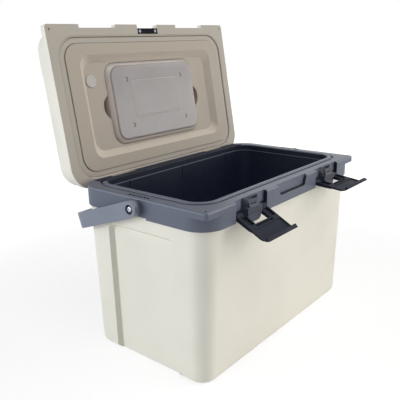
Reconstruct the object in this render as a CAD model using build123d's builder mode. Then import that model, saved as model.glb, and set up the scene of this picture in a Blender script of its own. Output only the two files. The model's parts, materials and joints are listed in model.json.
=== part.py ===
from build123d import *
import os
from math import acos, atan, cos, degrees, hypot, radians, sin, tan

# Insulated carrier box: tapered tub, collar with a sealing ridge, hinged lid with an ice pack,
# two swing latches and a bail handle. Millimetres, +Z up, latches at -Y, hinge at +Y.
# The origin is at the centre of the base, on the surface that the box stands on.

os.makedirs("parts", exist_ok=True)

# ---------------------------------------------------------------- driving dimensions
# Collar: the slate frame round the mouth of the tub
collar_length = 430.0
collar_depth = 256.0
collar_top = 267.0
collar_height = 30.5
collar_plate = 4.5
collar_corner = 38.0
ear_thickness = 10.3
ear_corner = 5.0
edge_round = 1.5
rear_edge_round = 3.0
spigot_wall = 2.2
spigot_reach = 10.0
collar_rib = 2.0
collar_rib_pitch = 38.0

# Tub
rim_lap = 4.0
tub_inset_end = 3.0
tub_inset_side = 6.25
tub_taper_end = 4.25
tub_taper_side = 7.25
tub_corner_top = 30.0
tub_corner_base = 24.0
tub_wall = 3.0
tub_floor = 5.0
base_round = 10.0
foot_ring = 22.0
foot_channel = 16.0
foot_recess = 2.0
seat_gap = 0.25
foam_gap = 0.3

# Grip recess moulded into each end of the tub
recess_half_width = 60.5
recess_top = 211.0
recess_depth = 7.5
recess_slope = 5.5
recess_corner = 10.0

# Seal line: the centre line of the sealing ridge, the lid's gasket and the liner's mouth,
# at these distances inside the collar's ends, front and rear
seal_end_margin = 22.5
seal_front_margin = 24.5
seal_rear_margin = 20.0
seal_corner = 30.0
ridge_width = 7.0
ridge_height = 1.8
ridge_groove_width = 4.0
ridge_groove_depth = 2.0
mouth_lip = 2.5
mouth_lip_depth = 8.7

# Liner
liner_wall = 2.5
liner_step = 3.0
liner_taper = 6.0
liner_floor_z = 27.0
liner_floor_round = 14.0
liner_flange_reach = 6.5
liner_upstand = 1.3
liner_groove_width = 2.2
liner_groove_depth = 1.2
liner_groove_pitch = 130.0

# Latches
latch_end_margin = 102.0
bay_width = 77.0
bay_depth = 5.5
bay_wall = 2.5
pivot_inset = 3.5
pivot_drop = 22.2
pivot_pocket_height = 5.7
lever_width = 73.0
lever_side_wall = 3.0
lever_skin = 1.8
lever_window_half = 18.5
lever_window_top = 23.8
lever_bar = 7.6
lever_arm_rib = 2.2
lever_barrel_radius = 4.5
lever_inner_face = 1.4
lever_arm_outer = -3.1
lever_plate_outer = -1.7
lever_bend_z = 44.0
lever_tip_z = 60.9
lever_tip_y = 6.4
lever_lip_z = 54.8
lever_lip_reach = 8.3
lever_nose_y = 0.8
lever_nose_z = 54.4
left_lever_angle = 118.0
right_lever_angle = 97.0
latch_pin_radius = 2.0
latch_pin_anchor = 6.0
running_clearance = 0.05

# Release tab, pivoted on the latch pin between the lever's arms
tab_half_width = 17.4
tab_barrel_radius = 4.2
tab_face = -8.6
tab_skin = 2.6
tab_neck_half = 11.0
tab_neck_face = -5.8
tab_ear_half = 13.5
tab_top = 18.5
tab_ear_height = 3.0
tab_grip_top = 8.5
tab_apron_bottom = -13.5
tab_apron_top = -1.5
tab_apron_half = 9.0
tab_apron_corner = 3.0
tab_rib_count = 4
tab_rib_pitch = 2.4
tab_rib_radius = 0.6
tab_slot_length = 13.0
tab_slot_height = 1.6
tab_slot_depth = 1.5
tab_slot_z = 12.0
tab_opening_half = 20.0
tab_opening_top = 19.7
tab_opening_depth = 6.0

# Finger recess in the middle of the collar's front, below the lid's pull dip
finger_top_half = 43.0
finger_base_half = 37.0
finger_height = 17.5
finger_depth = 4.5

# Seal holes through the front ears of collar and lid
seal_hole_radius = 2.2
seal_hole_inset = 7.3
cut_margin = 1.0

# Handle
handle_pivot_drop = 14.8
hub_radius = 11.5
hub_stand_off = 6.5
hub_tenon_length = 6.5
hub_tenon_radius = 8.0
hub_spigot_radius = 6.0
hub_relief_half = 19.0
hub_relief_height = 2.8
hub_slot_length = 42.0
hub_slot_width = 5.0
hub_slot_depth = 3.2
hub_slot_inset = 7.0
arm_thickness = 7.5
arm_width = 24.5
arm_end_gap = 0.1
grip_clearance = 4.0
grip_thickness = 10.0
grip_lean_gap = 0.3
grip_outer_corner = 36.0
grip_channel_wall = 2.5
grip_channel_depth = 17.0
grip_rib_pitch = 32.0
grip_rib = 2.0
handle_recess_radius = 7.2
handle_recess_depth = 4.0
handle_washer_radius = 6.9
handle_washer = 1.2
handle_screw_radius = 2.5
handle_head_radius = 4.2
handle_head_height = 2.2
handle_screw_length = 22.0
screw_drive_width = 1.1
screw_drive_depth = 1.2

# Hinge
hinge_inset = 4.2
hinge_drop = 10.1
hinge_end_margin = 95.0
hinge_bay_width = 60.0
hinge_bay_depth = 10.2
hinge_bay_floor = 10.9
hinge_knuckle_width = 56.0
hinge_knuckle_radius = 5.5
hinge_pin_radius = 2.5
hinge_pin_anchor = 8.0
hinge_stop_width = 1.4
hinge_stop_gap = 0.3
lid_open_angle = 99.4

# Lid
lid_gap = 0.5
lid_flange = 10.0
lid_skin = 3.0
crown_inset = 3.0
crown_corner = 35.0
crown_height = 34.5
crown_draft_angle = 4.0
crown_round = 16.0
notch_depth = 5.5
keeper_clearance = 0.5
keeper_wall = 3.0
keeper_side_wall = 3.0
dip_half_width = 25.0
dip_depth = 6.0
dip_height = 18.0

# Lid liner, gasket and ice pack
lid_panel = 2.5
lid_panel_edge = 7.0
lid_panel_gap = 0.25
channel_width = 10.0
channel_depth = 7.0
gasket_side_gap = 0.3
gasket_squeeze_gap = 0.3
gasket_round = 1.5
tray_end_margin = 30.5
tray_side_margin = 23.25
tray_corner = 18.0
tray_slope = 11.0
tray_depth = 9.0
pocket_end_margin = 42.0
pocket_side_margin = 36.75
pocket_corner = 22.0
pocket_depth = 14.0
pocket_shift = -0.75
finger_notch_radius = 22.7
finger_notch_y = 5.0
finger_notch_reach = 12.0
pack_gap = 0.6
pack_round = 5.0
pack_proud = 8.0
pack_shoulder = 7.0
dimple_end_margin = 41.0
dimple_side_margin = 30.0
dimple_radius = 5.0
dimple_depth = 1.6
panel_end_margin = 50.0
panel_side_margin = 38.0
panel_shift = -5.5
pack_panel_rise = 1.0
panel_round_share = 0.9
plug_end_margin = 12.0
plug_y = -40.0
plug_radius = 10.5
plug_head = 1.4
plug_stem_radius = 8.0

# Catch plate under the pull dip
plate_length = 49.0
plate_width = 9.4
plate_thickness = 3.0
plate_corner = 1.2
plate_screw_pitch = 38.0
plate_screw_radius = 1.5
plate_head_radius = 2.6
plate_head_height = 1.3
plate_screw_length = 6.0

# ---------------------------------------------------------------- derived places
half_length = collar_length / 2
half_depth = collar_depth / 2
front_y = -half_depth
skirt_bottom = collar_top - collar_height
rim_top = skirt_bottom + rim_lap
plate_underside = collar_top - collar_plate
seal_length = collar_length - 2 * seal_end_margin
seal_depth = collar_depth - seal_front_margin - seal_rear_margin
seal_y = (seal_front_margin - seal_rear_margin) / 2
latch_x = half_length - latch_end_margin
hinge_x = half_length - hinge_end_margin
tray_half_length = seal_length / 2 - tray_end_margin
tray_half_depth = seal_depth / 2 - tray_side_margin
pocket_half_length = tray_half_length - tray_slope - pocket_end_margin
pocket_half_depth = seal_depth / 2 - pocket_side_margin
pocket_y = seal_y + pocket_shift
plug_x = plug_end_margin - (tray_half_length - tray_slope)
dimple_x = pocket_half_length - dimple_end_margin
dimple_y = pocket_half_depth - dimple_side_margin
finger_notch_x = pocket_half_length + finger_notch_reach - finger_notch_radius
grip_reach = half_depth + grip_clearance
tub_length_top = collar_length - 2 * tub_inset_end
tub_depth_top = collar_depth - 2 * tub_inset_side
spigot_bottom = skirt_bottom - spigot_reach
mouth_bottom = collar_top - mouth_lip_depth
seal_inner = -ridge_width / 2
bay_back_y = front_y + bay_depth
pivot_y = front_y + pivot_inset
pivot_z = collar_top - pivot_drop
handle_z = collar_top - handle_pivot_drop
hinge_y = half_depth - hinge_inset
hinge_z = collar_top - hinge_drop
lid_under = collar_top + lid_gap
crown_base = lid_under + lid_flange
crown_top = crown_base + crown_height
keeper_z = pivot_z + lever_lip_z - keeper_clearance
keeper_back_y = pivot_y + lever_lip_reach + keeper_clearance
panel_face = lid_under
tray_floor = panel_face + tray_depth
pocket_floor = tray_floor + pocket_depth
channel_floor = panel_face + channel_depth
gasket_face = collar_top + ridge_height + gasket_squeeze_gap
wide_margin = 5.0


def tub_form(grow, low, high):
    """The tub's tapered form, grown outwards by grow, between two heights."""
    with BuildPart() as form:
        for height in (low, high):
            share = 1 - height / rim_top
            length = tub_length_top - 2 * tub_taper_end * share
            depth = tub_depth_top - 2 * tub_taper_side * share
            corner = tub_corner_top + (tub_corner_base - tub_corner_top) * share
            with BuildSketch(Plane.XY.offset(height)):
                RectangleRounded(length + 2 * grow, depth + 2 * grow, corner + grow)
        loft(ruled=True)
    return form.part


def end_recess(side, grow):
    """The grip recess of one end, grown by grow towards the inside of the tub."""
    lean = atan(tub_taper_end / rim_top)
    base_x = side * (tub_length_top / 2 - tub_taper_end)
    wall = Plane(origin=(base_x, 0, 0), x_dir=(0, side, 0), z_dir=(side * cos(lean), 0, -sin(lean)))
    reach = recess_depth + grow
    flare = recess_slope / recess_depth
    with BuildPart() as recess:
        for level, half_width, top in (
            (-reach, recess_half_width + grow, recess_top + grow),
            (wide_margin, recess_half_width + grow + flare * (reach + wide_margin),
             recess_top + grow + flare * (reach + wide_margin)),
        ):
            with BuildSketch(wall.offset(level)) as mouth:
                Rectangle(2 * half_width, top + 2 * base_round, align=(Align.CENTER, Align.MIN))
                fillet(mouth.vertices().group_by(Axis.Z)[-1], recess_corner)
        loft(ruled=True)
    return Pos(0, 0, -2 * base_round) * recess.part


def seal_ring(offset_by):
    """The rounded rectangle that runs offset_by outside the seal line."""
    with BuildSketch() as ring:
        with Locations((0, seal_y)):
            RectangleRounded(
                seal_length + 2 * offset_by, seal_depth + 2 * offset_by, seal_corner + offset_by
            )
    return ring.sketch


def seal_band(inner, outer, low, high):
    """A ring along the seal line, between two offsets and two heights."""
    with BuildPart() as band:
        with BuildSketch(Plane.XY.offset(low)):
            add(seal_ring(outer))
            add(seal_ring(inner), mode=Mode.SUBTRACT)
        extrude(amount=high - low)
    return band.part


def seal_block(offset_by, low, high):
    """A filled block inside an offset of the seal line."""
    with BuildPart() as block:
        with BuildSketch(Plane.XY.offset(low)):
            add(seal_ring(offset_by))
        extrude(amount=high - low)
    return block.part


def flange_form(low, high):
    """The outline shared by collar and lid: tight front ears, large rear corners."""
    with BuildPart() as flange:
        with BuildSketch(Plane.XY.offset(low)) as outline:
            Rectangle(collar_length, collar_depth)
            fillet(outline.vertices().group_by(Axis.Y)[0], ear_corner)
            fillet(outline.vertices().group_by(Axis.Y)[-1], collar_corner)
        extrude(amount=high - low)
    return flange.part


def box_between(first, second):
    """A plain block between two opposite corners."""
    first = Vector(*first)
    second = Vector(*second)
    span = second - first
    with BuildPart() as block:
        with Locations((first + second) * 0.5):
            Box(abs(span.X), abs(span.Y), abs(span.Z))
    return block.part


def rod(centre, radius, first_x, second_x):
    """A round bar along X, through centre = (y, z)."""
    with BuildPart() as bar:
        with BuildSketch(Plane.YZ.offset(min(first_x, second_x))):
            with Locations(centre):
                Circle(radius)
        extrude(amount=abs(second_x - first_x))
    return bar.part


# ---------------------------------------------------------------- tub shell
with BuildPart() as tub_hollow:
    add(tub_form(-tub_wall, tub_floor, rim_top + wide_margin))
    for end in (-1, 1):
        add(end_recess(end, tub_wall), mode=Mode.SUBTRACT)

with BuildPart() as body_shell:
    add(tub_form(0, 0, rim_top))
    fillet(body_shell.edges().group_by(Axis.Z)[0], base_round)
    for end in (-1, 1):
        add(end_recess(end, 0), mode=Mode.SUBTRACT)
    add(tub_hollow.part, mode=Mode.SUBTRACT)
    with BuildSketch():
        channel_length = tub_length_top - 2 * (tub_taper_end + recess_depth + foot_ring)
        channel_depth_y = tub_depth_top - 2 * (tub_taper_side + foot_ring)
        RectangleRounded(channel_length, channel_depth_y, tub_corner_base)
        RectangleRounded(
            channel_length - 2 * foot_channel,
            channel_depth_y - 2 * foot_channel,
            tub_corner_base - foot_channel / 2,
            mode=Mode.SUBTRACT,
        )
    extrude(amount=foot_recess, mode=Mode.SUBTRACT)


# ---------------------------------------------------------------- liner
def liner_form(grow, low, high):
    """The liner's inside form, grown outwards by grow, between two heights."""
    top_offset = seal_inner - liner_step
    with BuildPart() as form:
        for height in (low, high):
            share = (mouth_bottom - height) / (mouth_bottom - liner_floor_z)
            with BuildSketch(Plane.XY.offset(height)):
                add(seal_ring(top_offset - liner_taper * share + grow))
        loft(ruled=True)
    return form.part


with BuildPart() as liner_hollow:
    add(liner_form(0, liner_floor_z, mouth_bottom + wide_margin))
    fillet(liner_hollow.edges().group_by(Axis.Z)[0], liner_floor_round)

# Shallow vertical guide grooves: three in each long wall, one in each end wall
groove_low = liner_floor_z + liner_floor_round + liner_wall
with BuildPart() as liner_grooves:
    with Locations((0, 0, (groove_low + mouth_bottom) / 2)):
        with GridLocations(liner_groove_pitch, 0, 3, 1):
            Box(liner_groove_width, collar_depth, mouth_bottom - groove_low)
        with Locations((0, seal_y, 0)):
            Box(collar_length, liner_groove_width, mouth_bottom - groove_low)
    add(liner_form(liner_groove_depth, liner_floor_z, mouth_bottom), mode=Mode.INTERSECT)

with BuildPart() as inner_liner:
    add(liner_form(liner_wall, liner_floor_z - liner_wall, mouth_bottom))
    fillet(inner_liner.edges().group_by(Axis.Z)[0], liner_floor_round)
    add(seal_block(liner_flange_reach, mouth_bottom - liner_wall, mouth_bottom))
    add(seal_band(seal_inner - seat_gap - liner_upstand, seal_inner - seat_gap, mouth_bottom, collar_top))
    add(liner_hollow.part, mode=Mode.SUBTRACT)
    add(liner_grooves.part, mode=Mode.SUBTRACT)


# ---------------------------------------------------------------- foam between tub and liner
with BuildPart() as body_foam:
    add(tub_form(-tub_wall - foam_gap, tub_floor + foam_gap, spigot_bottom - foam_gap))
    for end in (-1, 1):
        add(end_recess(end, tub_wall + foam_gap), mode=Mode.SUBTRACT)
    add(
        liner_form(liner_wall + foam_gap, liner_floor_z - liner_wall - foam_gap, collar_top),
        mode=Mode.SUBTRACT,
    )


# ---------------------------------------------------------------- collar
def spigot_outline(shrink):
    """Outline of the collar's spigot inside the tub's rim, shrunk by shrink."""
    share = 1 - spigot_bottom / rim_top
    length = tub_length_top - 2 * (tub_taper_end * share + tub_wall + seat_gap + shrink)
    depth = tub_depth_top - 2 * (tub_taper_side * share + tub_wall + seat_gap + shrink)
    with BuildSketch() as outline:
        RectangleRounded(length, depth, tub_corner_top - tub_wall - seat_gap - shrink)
    return outline.sketch


with BuildPart() as spigot:
    with BuildSketch(Plane.XY.offset(spigot_bottom)):
        add(spigot_outline(0))
        add(spigot_outline(spigot_wall), mode=Mode.SUBTRACT)
    extrude(amount=plate_underside - spigot_bottom + collar_rib)

spigot_half_length = spigot_outline(0).bounding_box().max.X
spigot_half_depth = spigot_outline(0).bounding_box().max.Y

# Stiffening ribs under the top plate, between the spigot and the lip round the mouth
with BuildPart() as collar_ribs:
    rib_height = plate_underside - mouth_bottom - seat_gap + collar_rib
    with Locations((0, 0, mouth_bottom + seat_gap + rib_height / 2)):
        with GridLocations(collar_rib_pitch, 0, 9, 1):
            Box(collar_rib, 2 * spigot_half_depth - spigot_wall, rib_height)
        with GridLocations(0, collar_rib_pitch, 1, 5):
            Box(2 * spigot_half_length - spigot_wall, collar_rib, rib_height)
    add(seal_block(seal_inner, spigot_bottom, collar_top), mode=Mode.SUBTRACT)

with BuildPart() as sealing_ridge:
    add(seal_band(seal_inner, -seal_inner, plate_underside, collar_top + ridge_height))
    fillet(sealing_ridge.edges().group_by(Axis.Z)[-1], ridge_width / 2 - edge_round)


def latch_bay(side):
    """The open bay that one latch sits in, with a deeper pocket round its pivot."""
    x = side * latch_x
    with BuildPart() as bay:
        add(box_between(
            (x - bay_width / 2, front_y - wide_margin, skirt_bottom - wide_margin),
            (x + bay_width / 2, bay_back_y, collar_top + wide_margin),
        ))
        add(box_between(
            (x - bay_width / 2, front_y - wide_margin, skirt_bottom - wide_margin),
            (x + bay_width / 2, -spigot_half_depth - seat_gap, pivot_z + pivot_pocket_height),
        ))
        add(box_between(
            (x - tab_opening_half, front_y, pivot_z),
            (x + tab_opening_half, bay_back_y + tab_opening_depth, pivot_z + tab_opening_top),
        ))
        add(rod(
            (pivot_y, pivot_z), latch_pin_radius + running_clearance,
            x - bay_width / 2 - latch_pin_anchor, x + bay_width / 2 + latch_pin_anchor,
        ))
    return bay.part


def bay_back(side):
    """The back wall of one latch bay, above the pivot pocket."""
    x = side * latch_x
    return box_between(
        (x - bay_width / 2 - bay_wall, bay_back_y - edge_round, pivot_z + pivot_pocket_height),
        (x + bay_width / 2 + bay_wall, bay_back_y + bay_wall, plate_underside + collar_rib),
    )


def hinge_bay(side):
    """The pocket that one lid knuckle turns in, open at the top and the rear."""
    x = side * hinge_x
    low_z = hinge_z - hinge_bay_floor
    with BuildPart() as bay:
        add(box_between(
            (x - hinge_bay_width / 2, half_depth - hinge_bay_depth, low_z),
            (x + hinge_bay_width / 2, half_depth + wide_margin, collar_top + wide_margin),
        ))
        add(rod(
            (hinge_y, hinge_z), hinge_pin_radius + running_clearance,
            x - hinge_bay_width / 2 - hinge_pin_anchor, x + hinge_bay_width / 2 + hinge_pin_anchor,
        ))
    return bay.part


def hinge_block(side):
    """The solid block behind one hinge bay, which carries the pin."""
    x = side * hinge_x
    half = hinge_bay_width / 2 + hinge_pin_anchor + bay_wall
    return box_between(
        (x - half, half_depth - hinge_bay_depth - bay_wall, hinge_z - hinge_bay_floor - bay_wall),
        (x + half, half_depth - edge_round, plate_underside + collar_rib),
    )


# The lip at the bay's rear edge that the open lid's knuckle leans on
stop_reach = hinge_inset - hinge_stop_width / 2
stop_top = hinge_z - (
    (hinge_inset + hinge_stop_gap) / sin(radians(lid_open_angle))
    - stop_reach / tan(radians(lid_open_angle))
)


def hinge_stop(side):
    """The stop lip of one hinge bay."""
    x = side * hinge_x
    return box_between(
        (x - hinge_bay_width / 2, half_depth - hinge_stop_width, hinge_z - hinge_bay_floor - bay_wall),
        (x + hinge_bay_width / 2, half_depth, stop_top),
    )


with BuildPart() as finger_recess:
    with BuildSketch(Plane.XZ.offset(-front_y + wide_margin)) as trapezoid:
        with BuildLine():
            Polyline(
                (-finger_top_half - wide_margin * (finger_top_half - finger_base_half) / finger_height,
                 collar_top + wide_margin),
                (-finger_base_half, collar_top - finger_height),
                (finger_base_half, collar_top - finger_height),
                (finger_top_half + wide_margin * (finger_top_half - finger_base_half) / finger_height,
                 collar_top + wide_margin),
                close=True,
            )
        make_face()
        fillet(trapezoid.vertices().group_by(Axis.Z)[0], wide_margin)
    extrude(amount=-(finger_depth + wide_margin))

with BuildPart() as rim_channel:
    add(tub_form(seat_gap, skirt_bottom - wide_margin, rim_top + seat_gap))
    add(tub_form(-tub_wall - seat_gap, skirt_bottom - wide_margin, rim_top + seat_gap), mode=Mode.SUBTRACT)

with BuildPart() as collar:
    add(flange_form(collar_top - ear_thickness, collar_top))
    with BuildSketch(Plane.XY.offset(skirt_bottom)):
        RectangleRounded(collar_length, collar_depth, collar_corner)
    extrude(amount=collar_height - edge_round)
    fillet(
        collar.edges().group_by(Axis.Z)[-1].sort_by(Axis.Y)[-1:],
        rear_edge_round,
    )
    add(tub_form(seat_gap, skirt_bottom - wide_margin, plate_underside), mode=Mode.SUBTRACT)
    add(spigot.part)
    add(seal_band(seal_inner, seal_inner + mouth_lip, mouth_bottom + seat_gap, collar_top))
    add(collar_ribs.part)
    for end in (-1, 1):
        add(bay_back(end))
        add(hinge_block(end))
        add(rod((0, handle_z), hub_radius, end * (spigot_half_length - spigot_wall),
                end * (half_length - edge_round)))
    add(rim_channel.part, mode=Mode.SUBTRACT)
    add(seal_block(seal_inner, spigot_bottom, collar_top + wide_margin), mode=Mode.SUBTRACT)
    add(seal_band(-seal_inner, -seal_inner + ridge_groove_width, collar_top - ridge_groove_depth,
                  collar_top + wide_margin), mode=Mode.SUBTRACT)
    add(sealing_ridge.part)
    for end in (-1, 1):
        add(latch_bay(end), mode=Mode.SUBTRACT)
        add(hinge_bay(end), mode=Mode.SUBTRACT)
        add(hinge_stop(end))
        add(rod((0, handle_z), hub_tenon_radius + running_clearance,
                end * (half_length - hub_tenon_length), end * (half_length + wide_margin)),
            mode=Mode.SUBTRACT)
        add(rod((0, handle_z), handle_screw_radius + running_clearance,
                end * (spigot_half_length - wide_margin), end * half_length),
            mode=Mode.SUBTRACT)
        add(box_between(
            (end * half_length - wide_margin, -hub_relief_half, skirt_bottom - wide_margin),
            (end * half_length + wide_margin, hub_relief_half, skirt_bottom + hub_relief_height),
        ), mode=Mode.SUBTRACT)
        with BuildSketch(Plane.XY.offset(collar_top)):
            with Locations((end * (half_length - hub_slot_inset), 0)):
                SlotOverall(hub_slot_length, hub_slot_width, rotation=90)
        extrude(amount=-hub_slot_depth, mode=Mode.SUBTRACT)
        with Locations((end * (half_length - seal_hole_inset), front_y + seal_hole_inset,
                        collar_top - ear_thickness / 2)):
            Cylinder(seal_hole_radius, ear_thickness + cut_margin, mode=Mode.SUBTRACT)
    add(finger_recess.part, mode=Mode.SUBTRACT)


# ---------------------------------------------------------------- latch lever, closed, about its pivot
with BuildPart() as lever_blank:
    with BuildSketch(Plane.YZ.offset(-lever_width / 2)) as lever_side:
        with BuildLine():
            Polyline(
                (0, -lever_barrel_radius),
                (0, 0),
                (lever_inner_face, 0),
                (lever_inner_face, lever_lip_z),
                (lever_lip_reach, lever_lip_z),
                (lever_tip_y, lever_tip_z),
            )
            ThreePointArc(
                (lever_tip_y, lever_tip_z),
                (lever_nose_y, lever_nose_z),
                (lever_plate_outer, lever_bend_z),
            )
            Polyline(
                (lever_plate_outer, lever_bend_z),
                (lever_plate_outer, lever_window_top + lever_bar + lever_arm_rib),
                (lever_arm_outer, lever_window_top + lever_bar - lever_arm_rib),
                (-lever_barrel_radius, 0),
                (0, -lever_barrel_radius),
            )
        make_face()
        Circle(lever_barrel_radius)
    extrude(amount=lever_width)

arm_inner_half = lever_window_half + lever_arm_rib
arm_outer_half = lever_width / 2 - lever_side_wall
channel_low = lever_barrel_radius + lever_arm_rib
channel_high = lever_window_top
plate_low = lever_window_top + lever_bar
plate_high = lever_lip_z - lever_arm_rib
with BuildPart() as lever:
    add(lever_blank.part)
    add(box_between(
        (-lever_window_half, -collar_depth, -collar_height),
        (lever_window_half, collar_depth, lever_window_top),
    ), mode=Mode.SUBTRACT)
    for side in (-1, 1):
        add(box_between(
            (side * arm_inner_half, lever_arm_outer + lever_skin, channel_low),
            (side * arm_outer_half, lever_barrel_radius, channel_high),
        ), mode=Mode.SUBTRACT)
    add(box_between(
        (-arm_inner_half, lever_arm_outer + lever_skin, lever_window_top + lever_arm_rib),
        (arm_inner_half, lever_barrel_radius, plate_low - lever_arm_rib),
    ), mode=Mode.SUBTRACT)
    add(box_between(
        (-arm_outer_half, lever_plate_outer + lever_skin, plate_low),
        (arm_outer_half, lever_barrel_radius, plate_high),
    ), mode=Mode.SUBTRACT)
    add(rod((0, 0), latch_pin_radius + running_clearance, -lever_width, lever_width),
        mode=Mode.SUBTRACT)

# ---------------------------------------------------------------- release tab, about the same pivot
with BuildPart() as tab_blank:
    with BuildSketch(Plane.YZ.offset(-tab_half_width)) as tab_side:
        with BuildLine():
            Polyline(
                (tab_face + tab_skin, tab_apron_bottom),
                (tab_face, tab_apron_bottom),
                (tab_face, tab_grip_top),
                (tab_neck_face, tab_grip_top + tab_skin),
                (tab_neck_face, tab_top),
                (tab_neck_face + tab_skin, tab_top),
                (tab_neck_face + tab_skin, tab_grip_top),
                (0, tab_barrel_radius),
                (0, -tab_barrel_radius),
                (tab_face + tab_skin, -tab_barrel_radius),
                close=True,
            )
        make_face()
        Circle(tab_barrel_radius)
    extrude(amount=2 * tab_half_width)

with BuildPart() as tab_outline:
    with BuildSketch(Plane.XZ.offset(-collar_height)) as tab_front:
        with Locations((0, (tab_apron_top + tab_grip_top) / 2)):
            Rectangle(2 * tab_half_width, tab_grip_top - tab_apron_top)
        with Locations((0, (tab_apron_top - tab_barrel_radius) / 2)):
            Rectangle(2 * tab_half_width, tab_barrel_radius + tab_apron_top)
        with Locations((0, tab_top / 2)):
            Rectangle(2 * tab_neck_half, tab_top)
        with Locations((0, tab_top - tab_ear_height / 2)):
            RectangleRounded(2 * tab_ear_half, tab_ear_height, tab_ear_height / 3)
        with BuildLine():
            Polyline(
                (-tab_half_width, tab_apron_top),
                (-tab_half_width + tab_apron_corner, tab_apron_bottom + tab_apron_corner),
                (-tab_apron_half, tab_apron_bottom),
                (tab_apron_half, tab_apron_bottom),
                (tab_half_width - tab_apron_corner, tab_apron_bottom + tab_apron_corner),
                (tab_half_width, tab_apron_top),
                close=True,
            )
        make_face()
    extrude(amount=2 * collar_height)

with BuildPart() as release_tab:
    add(tab_blank.part)
    add(tab_outline.part, mode=Mode.INTERSECT)
    rib_centre = tab_grip_top - tab_rib_radius - (tab_rib_count - 1) * tab_rib_pitch / 2
    with BuildSketch(Plane.YZ.offset(-tab_half_width)):
        with Locations((tab_face, rib_centre)):
            with GridLocations(0, tab_rib_pitch, 1, tab_rib_count):
                Circle(tab_rib_radius)
    extrude(amount=2 * tab_half_width)
    with BuildSketch(Plane.XZ.offset(-tab_neck_face)):
        with Locations((0, tab_slot_z)):
            SlotOverall(tab_slot_length, tab_slot_height)
    extrude(amount=-tab_slot_depth, mode=Mode.SUBTRACT)
    add(rod((0, 0), latch_pin_radius + running_clearance, -lever_width, lever_width),
        mode=Mode.SUBTRACT)

# ---------------------------------------------------------------- handle, level, about its pivot
arm_inner_x = half_length + hub_stand_off
arm_outer_x = arm_inner_x + arm_thickness
arm_floor_x = arm_outer_x - handle_recess_depth
grip_outer_y = grip_reach + grip_thickness
with BuildPart() as bail_side:
    with BuildSketch(Plane.YZ.offset(-arm_outer_x)):
        Circle(arm_width / 2)
        with Locations((grip_reach + grip_thickness / 2, 0)):
            Rectangle(grip_thickness, arm_width)
        make_hull()
    extrude(amount=2 * arm_outer_x)

with BuildPart() as bail_plan:
    with BuildSketch(Plane.XY.offset(-arm_width)) as bail_outline:
        with Locations((0, grip_outer_y)):
            Rectangle(2 * arm_outer_x, grip_outer_y + arm_width,
                      align=(Align.CENTER, Align.MAX))
        fillet(bail_outline.vertices().group_by(Axis.Y)[-1], grip_outer_corner)
    extrude(amount=2 * arm_width)
    with BuildSketch(Plane.XY.offset(-arm_width)) as bail_inside:
        with Locations((0, grip_reach)):
            Rectangle(2 * arm_inner_x, grip_reach + 2 * arm_width,
                      align=(Align.CENTER, Align.MAX))
        fillet(bail_inside.vertices().group_by(Axis.Y)[-1], grip_outer_corner - arm_thickness)
    extrude(amount=2 * arm_width, mode=Mode.SUBTRACT)

grip_channel_half = arm_outer_x - grip_outer_corner
with BuildPart() as handle:
    add(bail_side.part)
    add(bail_plan.part, mode=Mode.INTERSECT)
    add(box_between(
        (-grip_channel_half, grip_reach + grip_channel_wall, -arm_width),
        (grip_channel_half, grip_outer_y - grip_channel_wall, grip_channel_depth - arm_width / 2),
    ), mode=Mode.SUBTRACT)
    with Locations((0, grip_reach + grip_thickness / 2, -arm_width / 2 + grip_channel_depth / 2)):
        with GridLocations(grip_rib_pitch, 0, 12, 1):
            Box(grip_rib, grip_thickness - grip_channel_wall, grip_channel_depth)
    add(rod((0, 0), hub_spigot_radius + running_clearance, -arm_outer_x, arm_outer_x),
        mode=Mode.SUBTRACT)
    for end in (-1, 1):
        add(rod((0, 0), handle_recess_radius, end * arm_floor_x, end * (arm_outer_x + wide_margin)),
            mode=Mode.SUBTRACT)


def hub(end):
    """The boss that one handle arm turns on, tenoned into the collar's end."""
    spigot_end = end * (arm_floor_x + arm_end_gap)
    with BuildPart() as boss:
        add(rod((0, handle_z), hub_tenon_radius, end * (half_length - hub_tenon_length),
                end * half_length))
        add(rod((0, handle_z), hub_radius, end * half_length, end * (arm_inner_x - arm_end_gap)))
        add(rod((0, handle_z), hub_spigot_radius, end * half_length, spigot_end))
        add(rod((0, handle_z), handle_screw_radius + running_clearance, 0, spigot_end),
            mode=Mode.SUBTRACT)
    return boss.part


def hub_washer(end):
    """The retaining washer in one arm's recess."""
    inner_x = end * (arm_floor_x + arm_end_gap)
    outer_x = inner_x + end * handle_washer
    with BuildPart() as washer:
        add(rod((0, handle_z), handle_washer_radius, inner_x, outer_x))
        add(rod((0, handle_z), handle_screw_radius + running_clearance, inner_x, outer_x),
            mode=Mode.SUBTRACT)
    return washer.part


def hub_screw(end):
    """The pan-head screw that holds one hub and washer to the collar."""
    seat_x = end * (arm_floor_x + arm_end_gap + handle_washer)
    head_x = seat_x + end * handle_head_height
    with BuildPart() as screw:
        add(rod((0, handle_z), handle_screw_radius, seat_x - end * handle_screw_length, seat_x))
        add(rod((0, handle_z), handle_head_radius, seat_x, head_x))
        fillet(screw.edges().sort_by(Axis.X)[-1 if end > 0 else 0], edge_round)
        with Locations((head_x, 0, handle_z)):
            Box(2 * screw_drive_depth, screw_drive_width, handle_head_radius, mode=Mode.SUBTRACT)
            Box(2 * screw_drive_depth, handle_head_radius, screw_drive_width, mode=Mode.SUBTRACT)
    return screw.part


# ---------------------------------------------------------------- lid, closed
def crown_form(inset, low, high):
    """The lid's drafted crown, inset all round, between two heights."""
    with BuildPart() as form:
        for height in (low, high):
            lean = tan(radians(crown_draft_angle)) * (height - crown_base)
            shrink = crown_inset + inset + max(lean, 0)
            with BuildSketch(Plane.XY.offset(height)):
                RectangleRounded(
                    collar_length - 2 * shrink, collar_depth - 2 * shrink, crown_corner - inset - max(lean, 0)
                )
        loft(ruled=True)
    return form.part


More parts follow.
